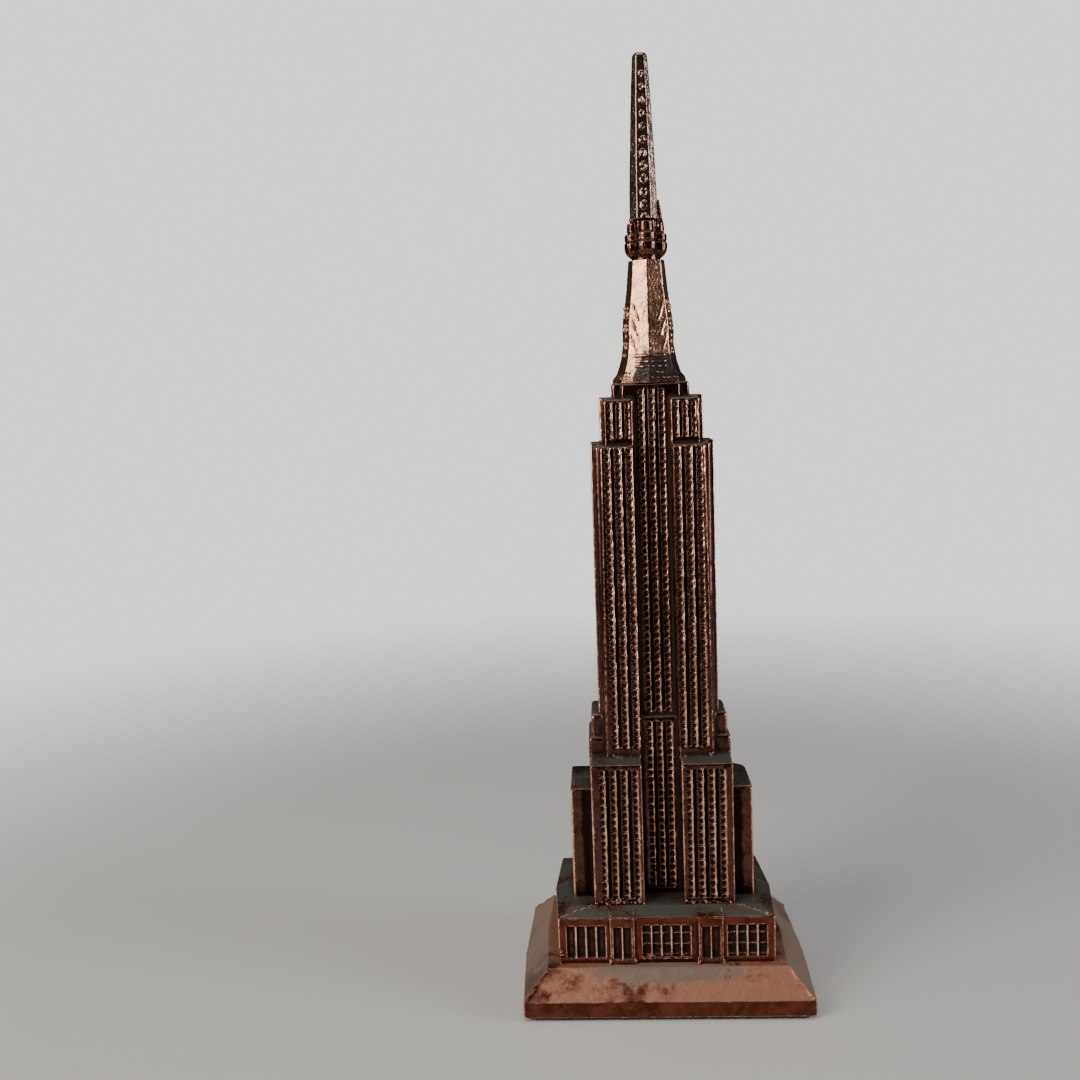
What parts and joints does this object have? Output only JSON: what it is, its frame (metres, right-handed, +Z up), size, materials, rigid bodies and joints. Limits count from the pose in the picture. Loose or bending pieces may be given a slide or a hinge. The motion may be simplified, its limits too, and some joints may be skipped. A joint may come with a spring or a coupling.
{
  "type": "miniature landmark model",
  "caption": "Copper-finished cast souvenir skyscraper: stepped tower with window ladders, mast and antenna on a bevelled plinth with a felt foot.",
  "frame": {"origin": "on the surface it stands on, under the middle of the plinth", "axes": "+Z up along the tower, -Y towards the front with the two tall wings, +X to the right as seen from the front"},
  "size_m": [0.0564, 0.0408, 0.18],
  "materials": {
    "antique_copper": "antique copper plating over a zinc casting: bright on rails and edges, near-black in the recesses",
    "worn_copper": "worn, dusty copper plating over a zinc casting, matt on upward faces",
    "felt": "dark green-black pressed felt",
    "card": "plain grey board",
    "plaster": "poured plaster",
    "steel": "zinc-plated steel"
  },
  "bodies": {
    "root": {"felt_pad": "felt", "base_card": "card", "plinth": "worn_copper", "ballast_block": "plaster", "podium_front": "worn_copper", "podium_back": "worn_copper", "tower_front": "antique_copper", "tower_back": "antique_copper", "podium_pin_left": "steel", "podium_pin_right": "steel", "tower_pin_low_left": "steel", "tower_pin_low_right": "steel", "tower_pin_high_left": "steel", "tower_pin_high_right": "steel", "tie_rod": "steel", "tie_rod_nut": "steel", "tie_rod_washer": "steel", "mast": "antique_copper", "mast_cap": "antique_copper", "antenna": "antique_copper"}
  },
  "joints": []
}
